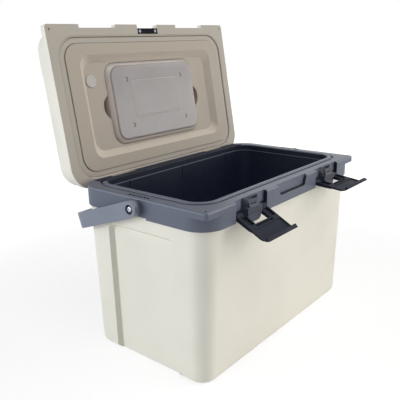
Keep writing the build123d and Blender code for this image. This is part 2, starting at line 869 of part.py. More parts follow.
def keeper_block(side, grow):
    """The solid block round one latch notch and its keeper ledge, grown by grow."""
    half = bay_width / 2 + keeper_side_wall + grow
    x = side * latch_x
    with BuildPart() as block:
        add(box_between(
            (x - half, front_y, lid_under),
            (x + half, front_y + notch_depth + keeper_wall + grow, crown_top),
        ))
        add(box_between(
            (x - half, front_y, keeper_z - keeper_wall - grow),
            (x + half, keeper_back_y + keeper_wall + grow, crown_top),
        ))
    return block.part


def dip_block(grow):
    """The solid block behind the finger dip and over the catch plate, grown by grow."""
    half = dip_half_width + keeper_side_wall + grow
    return box_between(
        (-half, front_y, lid_under),
        (half, seal_front_y - lid_panel_gap, crown_base + dip_height - lid_flange + grow),
    )


seal_front_y = seal_y - seal_depth / 2 - lid_panel_edge
plate_y = front_y + dip_depth + lid_panel_gap + plate_width / 2


def lid_hollow(shrink):
    """The space inside the lid shell, shrunk by shrink."""
    floor_z = lid_under + lid_skin + shrink
    with BuildPart() as hollow:
        add(crown_form(lid_skin + shrink, crown_base, crown_top - lid_skin - shrink))
        fillet(hollow.edges().group_by(Axis.Z)[-1], crown_round - lid_skin)
        add(crown_form(lid_skin + shrink, floor_z, crown_base))
        for side in (-1, 1):
            add(keeper_block(side, shrink), mode=Mode.SUBTRACT)
        add(dip_block(shrink), mode=Mode.SUBTRACT)
    return hollow.part


def tray_form(grow):
    """The tray sunk in the lid's lining, with sloped walls, grown by grow."""
    with BuildPart() as form:
        for height, spread in ((panel_face, 0), (tray_floor, -tray_slope)):
            with BuildSketch(Plane.XY.offset(height + grow * (height - panel_face) / tray_depth)):
                with Locations((0, seal_y)):
                    RectangleRounded(
                        2 * (tray_half_length + spread + grow),
                        2 * (tray_half_depth + spread + grow),
                        tray_corner + grow,
                    )
        loft(ruled=True)
    return form.part


def pocket_form(grow):
    """The pocket for the ice pack, with a finger notch at each end, grown by grow."""
    with BuildPart() as form:
        with BuildSketch(Plane.XY.offset(tray_floor)):
            with Locations((0, pocket_y)):
                RectangleRounded(
                    2 * (pocket_half_length + grow), 2 * (pocket_half_depth + grow), pocket_corner + grow
                )
            with Locations((0, finger_notch_y)):
                with GridLocations(2 * finger_notch_x, 0, 2, 1):
                    Circle(finger_notch_radius + grow)
        extrude(amount=pocket_depth + grow)
    return form.part


def lining_form(grow):
    """Everything that the lid's lining takes up, grown by grow towards the foam."""
    with BuildPart() as form:
        add(seal_block(lid_panel_edge, panel_face, panel_face + lid_panel + grow))
        add(seal_band(
            -channel_width / 2 - lid_panel - grow, lid_panel_edge + grow,
            panel_face, channel_floor + lid_panel + grow,
        ))
        add(tray_form(lid_panel + grow))
        add(pocket_form(lid_panel + grow))
    return form.part


with BuildPart() as lid_liner:
    add(lining_form(0))
    add(seal_band(-channel_width / 2, channel_width / 2, panel_face, channel_floor), mode=Mode.SUBTRACT)
    add(tray_form(0), mode=Mode.SUBTRACT)
    add(pocket_form(0), mode=Mode.SUBTRACT)
    with Locations((plug_x, plug_y, tray_floor)):
        Cylinder(plug_stem_radius + seat_gap, 4 * lid_panel, mode=Mode.SUBTRACT)

with BuildPart() as lid_gasket:
    add(seal_band(
        gasket_side_gap - channel_width / 2, channel_width / 2 - gasket_side_gap, gasket_face, channel_floor
    ))
    fillet(lid_gasket.edges().group_by(Axis.Z)[0], gasket_round)

with BuildPart() as lid_foam:
    add(lid_hollow(foam_gap))
    add(lining_form(foam_gap), mode=Mode.SUBTRACT)

with BuildPart() as foam_port_plug:
    with BuildSketch(Plane.XY.offset(tray_floor)):
        with Locations((plug_x, plug_y)):
            Circle(plug_radius)
    extrude(amount=-plug_head)
    fillet(foam_port_plug.edges().group_by(Axis.Z)[0], plug_head / 2)
    with BuildSketch(Plane.XY.offset(tray_floor)):
        with Locations((plug_x, plug_y)):
            Circle(plug_stem_radius)
    extrude(amount=lid_panel)

with BuildPart() as ice_pack:
    pack_low = tray_floor - pack_proud
    pack_high = pocket_floor - foam_gap
    pack_length = 2 * (pocket_half_length - pack_gap)
    pack_depth = 2 * (pocket_half_depth - pack_gap)
    pack_corner = pocket_corner - pack_gap
    for height, inset in ((pack_low, pack_shoulder), (tray_floor, 0)):
        with BuildSketch(Plane.XY.offset(height)):
            with Locations((0, pocket_y)):
                RectangleRounded(pack_length - 2 * inset, pack_depth - 2 * inset, pack_corner - inset / 2)
    loft(ruled=True)
    with BuildSketch(Plane.XY.offset(tray_floor)):
        with Locations((0, pocket_y)):
            RectangleRounded(pack_length, pack_depth, pack_corner)
    extrude(amount=pack_high - tray_floor)
    fillet(ice_pack.edges().group_by(Axis.Z)[0], pack_round)
    fillet(ice_pack.edges().group_by(Axis.Z)[-1], pack_round / 2)
    with BuildSketch(Plane.XY.offset(pack_low)):
        with Locations((0, pocket_y + panel_shift)):
            RectangleRounded(
                2 * (pocket_half_length - panel_end_margin),
                2 * (pocket_half_depth - panel_side_margin),
                pack_round,
            )
    extrude(amount=-pack_panel_rise)
    fillet(ice_pack.edges().group_by(Axis.Z)[0], pack_panel_rise * panel_round_share)
    with Locations((0, pocket_y, pack_low)):
        with GridLocations(2 * dimple_x, 2 * dimple_y, 2, 2):
            Cone(dimple_radius, dimple_radius / 2, 2 * dimple_depth, mode=Mode.SUBTRACT)


def knuckle(side):
    """One lid knuckle: a barrel round the hinge pin and the block that carries it."""
    x = side * hinge_x
    half = hinge_knuckle_width / 2
    with BuildPart() as barrel:
        add(rod((hinge_y, hinge_z), hinge_knuckle_radius, x - half, x + half))
        add(box_between(
            (x - half, hinge_y - hinge_knuckle_radius, hinge_z),
            (x + half, half_depth, lid_under + edge_round),
        ))
    return barrel.part


with BuildPart() as lid_shell:
    add(flange_form(lid_under, crown_base))
    add(crown_form(0, crown_base - edge_round, crown_top))
    fillet(lid_shell.edges().group_by(Axis.Z)[-1], crown_round)
    add(lid_hollow(0), mode=Mode.SUBTRACT)
    add(seal_block(lid_panel_edge + lid_panel_gap, lid_under - wide_margin, crown_base), mode=Mode.SUBTRACT)
    for side in (-1, 1):
        x = side * latch_x
        add(box_between(
            (x - bay_width / 2, front_y - wide_margin, lid_under - wide_margin),
            (x + bay_width / 2, front_y + notch_depth, crown_top + wide_margin),
        ), mode=Mode.SUBTRACT)
        add(box_between(
            (x - bay_width / 2, front_y - wide_margin, keeper_z),
            (x + bay_width / 2, keeper_back_y, crown_top + wide_margin),
        ), mode=Mode.SUBTRACT)
        add(knuckle(side))
        add(rod((hinge_y, hinge_z), hinge_pin_radius + running_clearance,
                side * hinge_x - hinge_bay_width, side * hinge_x + hinge_bay_width), mode=Mode.SUBTRACT)
        with Locations((side * (half_length - seal_hole_inset), front_y + seal_hole_inset,
                        lid_under + lid_flange / 2)):
            Cylinder(seal_hole_radius, lid_flange + cut_margin, mode=Mode.SUBTRACT)
    add(box_between(
        (-dip_half_width, front_y - wide_margin, lid_under - wide_margin),
        (dip_half_width, front_y + dip_depth, lid_under + dip_height),
    ), mode=Mode.SUBTRACT)
    add(box_between(
        (-plate_length / 2 - lid_panel_gap, front_y + dip_depth, lid_under - wide_margin),
        (plate_length / 2 + lid_panel_gap, plate_y + plate_width / 2 + lid_panel_gap,
         lid_under + plate_thickness),
    ), mode=Mode.SUBTRACT)
    with Locations((0, plate_y, lid_under + plate_thickness)):
        with GridLocations(plate_screw_pitch, 0, 2, 1):
            Cylinder(plate_screw_radius + running_clearance, plate_screw_length,
                     align=(Align.CENTER, Align.CENTER, Align.MIN), mode=Mode.SUBTRACT)

with BuildPart() as catch_plate:
    with BuildSketch(Plane.XY.offset(lid_under)):
        with Locations((0, plate_y)):
            RectangleRounded(plate_length, plate_width, plate_corner)
    extrude(amount=plate_thickness)
    with Locations((0, plate_y, lid_under)):
        with GridLocations(plate_screw_pitch, 0, 2, 1):
            Cylinder(plate_head_radius + running_clearance, 2 * plate_head_height, mode=Mode.SUBTRACT)
            Cylinder(plate_screw_radius + running_clearance, 2 * plate_thickness, mode=Mode.SUBTRACT)

with BuildPart() as catch_plate_screws:
    with Locations((0, plate_y, lid_under)):
        with GridLocations(plate_screw_pitch, 0, 2, 1):
            Cylinder(plate_head_radius, plate_head_height,
                     align=(Align.CENTER, Align.CENTER, Align.MIN))
            Cylinder(plate_screw_radius, plate_screw_length,
                     align=(Align.CENTER, Align.CENTER, Align.MIN))
    with Locations((0, plate_y, lid_under)):
        with GridLocations(plate_screw_pitch, 0, 2, 1):
            Box(2 * plate_screw_radius, screw_drive_width / 2, plate_head_height, mode=Mode.SUBTRACT)
            Box(screw_drive_width / 2, 2 * plate_screw_radius, plate_head_height, mode=Mode.SUBTRACT)

# ---------------------------------------------------------------- rest positions
# The handle hangs behind the tub: its grip's lower inner edge lies grip_lean_gap off the wall.
wall_lean = atan(tub_taper_side / rim_top)
edge_reach = hypot(grip_reach, arm_width / 2)
wall_reach = (
    tub_depth_top / 2 - tub_taper_side + tub_taper_side * handle_z / rim_top
) * cos(wall_lean) + grip_lean_gap
handle_droop = degrees(
    wall_lean + acos(wall_reach / edge_reach) - atan(arm_width / 2 / grip_reach)
)

lid_swing = Pos(0, hinge_y, hinge_z) * Rot(X=-lid_open_angle) * Pos(0, -hinge_y, -hinge_z)
handle_swing = Pos(0, 0, handle_z) * Rot(X=-handle_droop)

# ---------------------------------------------------------------- finished pieces
body_shell.part.label = "body_shell"
export_step(body_shell.part, "parts/body_shell.step")
body_foam.part.label = "body_foam"
export_step(body_foam.part, "parts/body_foam.step")
inner_liner.part.label = "inner_liner"
export_step(inner_liner.part, "parts/inner_liner.step")
collar.part.label = "collar"
export_step(collar.part, "parts/collar.step")

for closed, label in (
    (lid_shell.part, "lid_shell"),
    (lid_liner.part, "lid_liner"),
    (lid_foam.part, "lid_foam"),
    (lid_gasket.part, "lid_gasket"),
    (ice_pack.part, "ice_pack"),
    (foam_port_plug.part, "foam_port_plug"),
    (catch_plate.part, "catch_plate"),
    (catch_plate_screws.part, "catch_plate_screws"),
):
    opened = lid_swing * closed
    opened.label = label
    export_step(opened, f"parts/{label}.step")

handle_bail = handle_swing * handle.part
handle_bail.label = "handle_bail"
export_step(handle_bail, "parts/handle_bail.step")

for name, side, opening in (("left", -1, left_lever_angle), ("right", 1, right_lever_angle)):
    latch_place = Pos(side * latch_x, pivot_y, pivot_z)
    pin_span = bay_width / 2 + latch_pin_anchor - seat_gap
    hinge_span = hinge_bay_width / 2 + hinge_pin_anchor - seat_gap
    for piece, label in (
        (latch_place * Rot(X=opening) * lever.part, "latch_lever"),
        (latch_place * release_tab.part, "release_tab"),
        (latch_place * rod((0, 0), latch_pin_radius, -pin_span, pin_span), "latch_pin"),
        (Pos(side * hinge_x, hinge_y, hinge_z) * rod((0, 0), hinge_pin_radius, -hinge_span, hinge_span),
         "hinge_pin"),
        (hub(side), "handle_hub"),
        (hub_washer(side), "handle_washer"),
        (hub_screw(side), "handle_screw"),
    ):
        piece.label = f"{label}_{name}"
        export_step(piece, f"parts/{label}_{name}.step")
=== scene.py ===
"""Dresses the insulated carrier: finishes for every moulding, fine trim, camera, floor and light."""

from __future__ import annotations

import json
import logging
from dataclasses import dataclass
from enum import Enum
from math import radians
from typing import Any, ClassVar

import bmesh
import bpy
from mathutils import Matrix, Vector

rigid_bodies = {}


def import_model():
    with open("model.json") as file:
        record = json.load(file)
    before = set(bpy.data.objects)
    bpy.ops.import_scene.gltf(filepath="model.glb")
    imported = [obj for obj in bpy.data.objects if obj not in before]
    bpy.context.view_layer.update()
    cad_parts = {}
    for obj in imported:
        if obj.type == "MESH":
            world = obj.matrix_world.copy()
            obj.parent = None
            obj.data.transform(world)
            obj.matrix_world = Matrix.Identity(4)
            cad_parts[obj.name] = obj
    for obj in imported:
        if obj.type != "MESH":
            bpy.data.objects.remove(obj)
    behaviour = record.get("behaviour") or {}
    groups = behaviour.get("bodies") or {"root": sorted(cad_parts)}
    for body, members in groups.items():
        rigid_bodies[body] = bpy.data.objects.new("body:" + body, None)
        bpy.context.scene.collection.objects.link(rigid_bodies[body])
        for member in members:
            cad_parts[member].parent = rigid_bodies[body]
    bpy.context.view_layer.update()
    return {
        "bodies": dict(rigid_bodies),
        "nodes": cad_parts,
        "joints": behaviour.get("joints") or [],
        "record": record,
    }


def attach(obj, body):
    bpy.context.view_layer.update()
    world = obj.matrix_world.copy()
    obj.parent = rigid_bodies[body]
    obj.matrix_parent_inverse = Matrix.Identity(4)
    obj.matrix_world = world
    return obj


Colour = tuple[float, float, float]
Place = tuple[float, float, float]
LinearColour = tuple[float, float, float, float]

LOG = logging.getLogger("carrier")
MM = 0.001

# How every moulding's sharp edges are eased
EDGE_RADIUS_MM = 0.7
EDGE_SAMPLES = 4

# The lid's hinge, and how far it has to swing to shut
LID_OPEN_DEG = 99.4
LID_HINGE_M = (0.0, 0.1238, 0.2569)

# How far the tub's walls draw in for each mm of height
TUB_TAPER_MM = 4.25
TUB_TAPER_HEIGHT_MM = 240.5
TUB_LEAN = TUB_TAPER_MM / TUB_TAPER_HEIGHT_MM

# Places on the collar
COLLAR_TOP_MM = 267.0
COLLAR_FRONT_MM = -128.0
BAY_X_MM = 113.0
BAY_HALF_WIDTH_MM = 38.5
SLOT_X_MM = 208.0
BOTH_ENDS = (-1, 1)


def shade(colour: Colour, share: float) -> Colour:
    """Darken or lighten a display colour.

    Args:
        colour: Red, green and blue, 0 to 255.
        share: What each channel is multiplied by.

    Returns:
        The new display colour.
    """
    return tuple(min(channel * share, 255.0) for channel in colour)


def dimmed(colour: LinearColour, share: float) -> LinearColour:
    """Darken a linear colour.

    Args:
        colour: Linear red, green, blue and alpha.
        share: What each channel but alpha is multiplied by.

    Returns:
        The new linear colour.
    """
    return tuple(channel * share for channel in colour[:3]) + (1.0,)


def linear(colour: Colour) -> LinearColour:
    """Turn a display colour into the linear colour that the shader reads.

    Args:
        colour: Red, green and blue as written on a display, 0 to 255.

    Returns:
        Linear red, green, blue and an alpha of one.
    """
    channels = []
    for channel in colour:
        share = channel / 255
        low = share / 12.92
        high = ((share + 0.055) / 1.055) ** 2.4
        channels.append(low if share <= 0.04045 else high)
    return channels[0], channels[1], channels[2], 1.0


# ------------------------------------------------------------------ node trees
class Tree:
    """A node tree under construction, for a material or for geometry."""

    def __init__(self, tree: bpy.types.NodeTree) -> None:
        """Keep the tree and start it empty.

        Args:
            tree: The tree that nodes are added to.
        """
        self.tree = tree
        self.tree.nodes.clear()

    def node(
        self,
        kind: str,
        settings: dict[str, Any] | None = None,
        inputs: dict[str | int, Any] | None = None,
    ) -> bpy.types.Node:
        """Add one node.

        Args:
            kind: The node's type.
            settings: Its properties, such as a Math node's operation. They are set first.
            inputs: Values or links for its sockets, by name or number.

        Returns:
            The new node.
        """
        made = self.tree.nodes.new(kind)
        for name, value in (settings or {}).items():
            setattr(made, name, value)
        for name, value in (inputs or {}).items():
            self.feed(made.inputs[name], value)
        return made

    def feed(self, socket: bpy.types.NodeSocket, value: Any) -> None:
        """Set or link a socket.

        Args:
            socket: The socket to feed.
            value: A number, a colour, a vector, a Field or another socket.
        """
        if isinstance(value, Field):
            self.tree.links.new(value.socket, socket)
        elif isinstance(value, bpy.types.NodeSocket):
            self.tree.links.new(value, socket)
        else:
            socket.default_value = value


@dataclass(frozen=True)
class Field:
    """A value that varies over the surface; arithmetic on it adds Math nodes."""

    tree: Tree
    socket: bpy.types.NodeSocket

    def _math(self, operation: str, first: Any, second: Any) -> Field:
        """Add a Math node.

        Args:
            operation: What it does with its operands.
            first: The first operand, a field or a number.
            second: The second operand, a field or a number.

        Returns:
            Its result, as a field.
        """
        made = self.tree.node("ShaderNodeMath", {"operation": operation}, {0: first, 1: second})
        return Field(self.tree, made.outputs[0])

    def __add__(self, other: Any) -> Field:
        """Sum."""
        return self._math("ADD", self, other)

    def __radd__(self, other: Any) -> Field:
        """Sum, reflected."""
        return self._math("ADD", other, self)

    def __sub__(self, other: Any) -> Field:
        """Difference."""
        return self._math("SUBTRACT", self, other)

    def __rsub__(self, other: Any) -> Field:
        """Difference, reflected."""
        return self._math("SUBTRACT", other, self)

    def __mul__(self, other: Any) -> Field:
        """Product."""
        return self._math("MULTIPLY", self, other)

    def __rmul__(self, other: Any) -> Field:
        """Product, reflected."""
        return self._math("MULTIPLY", other, self)

    def between(self, low: float, high: float) -> Field:
        """Ramp smoothly between two values.

        Args:
            low: The value at and below which the ramp is 0.
            high: The value at and above which it is 1.

        Returns:
            The ramp, as a field.
        """
        made = self.tree.node(
            "ShaderNodeMapRange",
            {"interpolation_type": "SMOOTHSTEP"},
            {"Value": self, "From Min": low, "From Max": high},
        )
        return Field(self.tree, made.outputs["Result"])


@dataclass(frozen=True)
class Zone:
    """A box of a moulding painted darker as shade, or lighter as light, and duller by an added roughness.

    With a lean, the box follows a tapered wall: its x limits move by that much for each mm of height.
    """

    low_mm: Place
    high_mm: Place
    colour: Colour
    soft_mm: float = 0.3
    dulled: float = 0.0
    lean: float = 0.0


class Surface(Tree):
    """A material under construction, on Object coordinates."""

    # Edges are lightened towards this white: partly handling wear, partly a painted highlight
    wear_and_highlight_turn = (0.02, 0.3)
    wear_and_highlight_white = (0.8, 0.8, 0.78, 1.0)

    def __init__(self, name: str) -> None:
        """Start an empty material.

        Args:
            name: The material's name.
        """
        self.material = bpy.data.materials.new(name)
        self.material.use_nodes = True
        super().__init__(self.material.node_tree)
        self.place = self.node("ShaderNodeTexCoord").outputs["Object"]

    def noise(self, size_mm: float, detail: float = 3.0, stretch: Place = (1, 1, 1)) -> Field:
        """Add a noise field.

        Args:
            size_mm: How far apart its blotches lie.
            detail: How many finer layers it has.
            stretch: How much denser it is along each axis.

        Returns:
            A field from 0 to 1, mostly near a half.
        """
        at = self.node("ShaderNodeMapping", {}, {"Vector": self.place, "Scale": stretch})
        made = self.node(
            "ShaderNodeTexNoise",
            {"noise_dimensions": "3D"},
            {"Vector": at.outputs[0], "Scale": 1 / (size_mm * MM), "Detail": detail},
        )
        return Field(self, made.outputs["Fac"])

    def blend(self, share: Any, first: Any, second: Any) -> bpy.types.NodeSocket:
        """Mix two colours.

        Args:
            share: The share of the second colour, from 0 to 1.
            first: The first colour.
            second: The second colour.

        Returns:
            The mixed colour's socket.
        """
        made = self.node(
            "ShaderNodeMix",
            {"data_type": "RGBA"},
            {"Factor": share, 6: first, 7: second},
        )
        return made.outputs[2]

    def shut(self) -> bpy.types.NodeSocket:
        """Swing a point of the open lid shut.

        Returns:
            The socket of the point's place with the lid shut.
        """
        turned = self.node(
            "ShaderNodeVectorRotate",
            {"rotation_type": "X_AXIS"},
            {"Vector": self.place, "Center": LID_HINGE_M, "Angle": radians(LID_OPEN_DEG)},
        )
        return turned.outputs[0]

    def inside(self, zone: Zone, place: bpy.types.NodeSocket | None = None) -> Any:
        """Give 1 inside a zone's box and 0 outside it, with a soft edge.

        Args:
            zone: The box.
            place: The point that is looked up, if not the point of the surface.

        Returns:
            The share, as a field.
        """
        parts = self.node("ShaderNodeSeparateXYZ", {}, {0: place or self.place})
        soft = zone.soft_mm * MM
        share: Any = 1.0
        for axis, (low, high) in enumerate(zip(zone.low_mm, zone.high_mm)):
            along = Field(self, parts.outputs[axis])
            if axis == 0 and zone.lean:
                along = along - Field(self, parts.outputs[2]) * zone.lean
            past_low = along.between(low * MM - soft, low * MM)
            past_high = along.between(high * MM, high * MM + soft)
            share = past_low * (1 - past_high) * share
        return share

    def bump(self, height: Field, depth_mm: float, over: Any = None) -> bpy.types.NodeSocket:
        """Raise the surface by a height field.

        Args:
            height: The field, from 0 to 1.
            depth_mm: How high 1 lies over 0.
            over: The normal that is bumped, if not the surface's own.

        Returns:
            The bumped normal's socket.
        """
        made = self.node(
            "ShaderNodeBump",
            {},
            {"Height": height, "Distance": depth_mm * MM, "Strength": 1.0},
        )
        if over is not None:
            self.feed(made.inputs["Normal"], over)
        return made.outputs["Normal"]

    def soft_edges(self) -> bpy.types.NodeSocket:
        """Ease every sharp edge by a moulding's small radius.

        Returns:
            The eased normal's socket.
        """
        made = self.node("ShaderNodeBevel", {"samples": EDGE_SAMPLES}, {"Radius": EDGE_RADIUS_MM * MM})
        return made.outputs[0]

    def wear_and_highlight(self, tint: Any, amount: float) -> bpy.types.NodeSocket:
        """Lighten a colour a little along the edges: partly handling wear, partly a painted highlight
        where the edges catch the light.

        Args:
            tint: The colour to lighten.
            amount: The share of white at the sharpest edge.

        Returns:
            The new colour.
        """
        flat = self.node("ShaderNodeNewGeometry").outputs["Normal"]
        turned = self.node(
            "ShaderNodeVectorMath", {"operation": "DOT_PRODUCT"}, {0: self.soft_edges(), 1: flat}
        )
        edge = (1 - Field(self, turned.outputs["Value"])).between(*self.wear_and_highlight_turn)
        return self.blend(edge * amount, tint, self.wear_and_highlight_white)

    def finish(self, **inputs: Any) -> bpy.types.Material:
        """Close the tree with a Principled shader and return the material.

        Args:
            inputs: The shader's sockets, by name with spaces as underscores.

        Returns:
            The finished material.
        """
        sockets = {name.replace("_", " "): value for name, value in inputs.items()}
        shader = self.node("ShaderNodeBsdfPrincipled", {}, sockets)
        self.node("ShaderNodeOutputMaterial", {}, {"Surface": shader.outputs[0]})
        return self.material


# ------------------------------------------------------------------ finishes
CLOUD_MM = 90.0
CLOUD_DETAIL = 2.0
CLOUD_RANGE = (0.3, 0.7)
GRAIN_MM = 0.55
GRAIN_DETAIL = 2.0
GRAIN_DEPTH_MM = 0.02


@dataclass(frozen=True)
class Moulded:
    """Moulded plastic: a fine spark grain, faint flow clouds, a little handling wear with a painted
    highlight along its edges, and where set a painted glow.

    Zones paint shade and light on parts of it by place. With on_lid they are places on the lid when it is
    shut.
    """

    name: str
    colour: Colour
    roughness: float = 0.5
    gloss: float = 0.4
    grain_mm: float = GRAIN_MM
    grain_depth_mm: float = GRAIN_DEPTH_MM
    cloud: float = 0.012
    cloud_dulled: float = 0.12
    scuff: float = 0.02
    scuff_polish: float = 0.06
    # Edge lightening: handling wear and a painted highlight
    edge_wear_and_highlight: float = 0.12
    # A painted glow: an emission that lifts a dark finish as if light fell on it
    glow: Colour = (0, 0, 0)
    zones: tuple[Zone, ...] = ()
    on_lid: bool = False

    rub_mm: ClassVar[float] = 22.0
    rub_detail: ClassVar[float] = 6.0
    rub_stretch: ClassVar[Place] = (1.0, 1.0, 2.4)
    rub_range: ClassVar[tuple[float, float]] = (0.56, 0.8)
    rub_white: ClassVar[LinearColour] = (0.6, 0.6, 0.6, 1.0)

    def make(self) -> bpy.types.Material:
        """Build the material.

        Returns:
            The material.
        """
        surface = Surface(self.name)
        place = surface.shut() if self.on_lid else surface.place
        clouds = surface.noise(CLOUD_MM, CLOUD_DETAIL)
        rubs = surface.noise(self.rub_mm, self.rub_detail, self.rub_stretch).between(*self.rub_range)
        grain = surface.noise(self.grain_mm, GRAIN_DETAIL)
        darker = linear(shade(self.colour, 1 - self.cloud))
        lighter = linear(shade(self.colour, 1 + self.cloud / 2))
        tint = surface.blend(clouds.between(*CLOUD_RANGE), darker, lighter)
        tint = surface.blend(rubs * self.scuff, tint, self.rub_white)
        # Lighten the edges: handling wear and a painted highlight
        tint = surface.wear_and_highlight(tint, self.edge_wear_and_highlight)
        roughness = self.roughness + (clouds - 0.5) * self.cloud_dulled - rubs * self.scuff_polish
        # Zones of painted shade and painted light
        for zone in self.zones:
            share = surface.inside(zone, place)
            tint = surface.blend(share, tint, linear(zone.colour))
            if zone.dulled:
                roughness = roughness + share * zone.dulled
        return surface.finish(
            Base_Color=tint,
            Roughness=roughness,
            Normal=surface.bump(grain, self.grain_depth_mm, surface.soft_edges()),
            Specular_IOR_Level=self.gloss,
            # The painted glow, where a finish has one
            Emission_Color=linear(self.glow),
            Emission_Strength=1.0 if any(self.glow) else 0.0,
        )


@dataclass(frozen=True)
class Steel:
    """Zinc-plated steel, finely brushed."""

    name: str
    colour: Colour
    roughness: float = 0.28

    brush_mm: ClassVar[float] = 0.6
    brush_detail: ClassVar[float] = 2.0
    brush_stretch: ClassVar[Place] = (8.0, 1.0, 1.0)
    brush_depth_mm: ClassVar[float] = 0.01
    brush_dulled: ClassVar[float] = 0.2
    spot_mm: ClassVar[float] = 3.0
    spot_detail: ClassVar[float] = 4.0
    spot_range: ClassVar[tuple[float, float]] = (0.55, 0.75)
    spot_share: ClassVar[float] = 0.5
    spot_shade: ClassVar[float] = 0.72
    spot_dulled: ClassVar[float] = 0.1

    def make(self) -> bpy.types.Material:
        """Build the material.

        Returns:
            The material.
        """
        surface = Surface(self.name)
        brushing = surface.noise(self.brush_mm, self.brush_detail, self.brush_stretch)
        spots = surface.noise(self.spot_mm, self.spot_detail).between(*self.spot_range)
        base = linear(self.colour)
        dull = dimmed(base, self.spot_shade)
        roughness = self.roughness + (brushing - 0.5) * self.brush_dulled + spots * self.spot_dulled
        return surface.finish(
            Base_Color=surface.blend(spots * self.spot_share, base, dull),
            Metallic=1.0,
            Roughness=roughness,
            Normal=surface.bump(brushing, self.brush_depth_mm),
        )


@dataclass(frozen=True)
class GelBottle:
    """A cloudy blow-moulded bottle full of gel, satin, with soft ripples in its wall.

    Its zones are places in the lid when it is shut.
    """

    name: str
    colour: Colour
    roughness: float = 0.32
    gloss: float = 0.3
    coat: float = 0.3
    coat_roughness: float = 0.1
    zones: tuple[Zone, ...] = ()

    ripple_mm: ClassVar[float] = 26.0
    ripple_detail: ClassVar[float] = 1.0
    ripple_depth_mm: ClassVar[float] = 0.35
    cloud_mm: ClassVar[float] = 60.0
    cloud_detail: ClassVar[float] = 3.0
    cloud_range: ClassVar[tuple[float, float]] = (0.35, 0.65)
    cloud_shade: ClassVar[float] = 0.9
    cloud_dulled: ClassVar[float] = 0.15
    scatter_m: ClassVar[Place] = (0.05, 0.045, 0.04)

    def make(self) -> bpy.types.Material:
        """Build the material.

        Returns:
            The material.
        """
        surface = Surface(self.name)
        ripple = surface.noise(self.ripple_mm, self.ripple_detail)
        cloud = surface.noise(self.cloud_mm, self.cloud_detail)
        base = linear(self.colour)
        tint = surface.blend(cloud.between(*self.cloud_range), dimmed(base, self.cloud_shade), base)
        place = surface.shut()
        # Zones of painted light on the pack
        for zone in self.zones:
            tint = surface.blend(surface.inside(zone, place), tint, linear(zone.colour))
        return surface.finish(
            Base_Color=tint,
            Roughness=self.roughness + (cloud - 0.5) * self.cloud_dulled,
            Normal=surface.bump(ripple, self.ripple_depth_mm, surface.soft_edges()),
            Coat_Weight=self.coat,
            Coat_Roughness=self.coat_roughness,
            Specular_IOR_Level=self.gloss,
            Subsurface_Weight=1.0,
            Subsurface_Radius=self.scatter_m,
            Subsurface_Scale=1.0,
        )


@dataclass(frozen=True)
class TwoTone:
    """A shell in one colour whose underside, below a plane of the closed lid, has another."""

    name: str
    colour: Colour
    under_colour: Colour
    under_mm: float = 267.5
    edge_mm: float = 0.35
    roughness: float = 0.5
    cloud: float = 0.035
    under_cloud: float = 0.05
    cloud_dulled: float = 0.08
    edge_wear_and_highlight: float = 0.25
    ior: float = 1.49

    def make(self) -> bpy.types.Material:
        """Build the material.

        Returns:
            The material.
        """
        surface = Surface(self.name)
        parts = surface.node("ShaderNodeSeparateXYZ", {}, {0: surface.shut()})
        height = Field(surface, parts.outputs[2])
        edge_low = self.under_mm + self.edge_mm / 2
        edge_high = self.under_mm + self.edge_mm
        over = height.between(edge_low * MM, edge_high * MM)
        clouds = surface.noise(CLOUD_MM, CLOUD_DETAIL).between(*CLOUD_RANGE)
        upper_dark = linear(shade(self.colour, 1 - self.cloud))
        lower_dark = linear(shade(self.under_colour, 1 - self.under_cloud))
        upper = surface.blend(clouds, upper_dark, linear(self.colour))
        lower = surface.blend(clouds, lower_dark, linear(self.under_colour))
        tint = surface.blend(over, lower, upper)
        grain = surface.noise(GRAIN_MM, GRAIN_DETAIL)
        # The colour is lightened along the edges: handling wear and a painted highlight
        return surface.finish(
            Base_Color=surface.wear_and_highlight(tint, self.edge_wear_and_highlight),
            Roughness=self.roughness + (clouds - 0.5) * self.cloud_dulled,
            Normal=surface.bump(grain, GRAIN_DEPTH_MM, surface.soft_edges()),
            IOR=self.ior,
        )


# ------------------------------------------------------------------ zones of painted shade and painted light
# Painted shade for the collar's walls and slot bottoms
SHADE_COLOUR = (30, 33, 43)
# Painted shadow of the open lid on the collar's rear strip
LID_SHADOW_COLOUR = (17, 22, 35)
# Painted highlight along the liner's ledge
LEDGE_HIGHLIGHT_COLOUR = (88, 93, 106)
# Painted shade in the liner's guide grooves
GUIDE_SHADE_COLOUR = (3, 4, 8)
# Painted shade between the tab's ribs
VALLEY_SHADE_COLOUR = (18, 20, 28)
# Painted shade in the tab's slot
TAB_SLOT_SHADE_COLOUR = (10, 11, 15)
# Painted light on the lid lining's sloping steps
LINING_WALL_LIGHT_COLOUR = (194, 184, 170)
# Painted light on the lid lining's hinge-side strip
LINING_RIM_LIGHT_COLOUR = (226, 214, 204)
# Painted light on the ice pack's sides and the line round its face
PACK_WALL_LIGHT_COLOUR = (204, 194, 186)
PACK_SEAM_LIGHT_COLOUR = (214, 204, 198)
# Painted shade on the walls of the tub's end recesses
RECESS_SHADE_COLOUR = (214, 210, 196)


def shaded(low_mm: Place, high_mm: Place) -> Zone:
    """Paint shade on a wall or the bottom of a slot of the collar.

    Args:
        low_mm: The zone's lowest x, y and z.
        high_mm: Its highest x, y and z.

    Returns:
        The zone.
    """
    return Zone(low_mm, high_mm, SHADE_COLOUR, dulled=0.4)


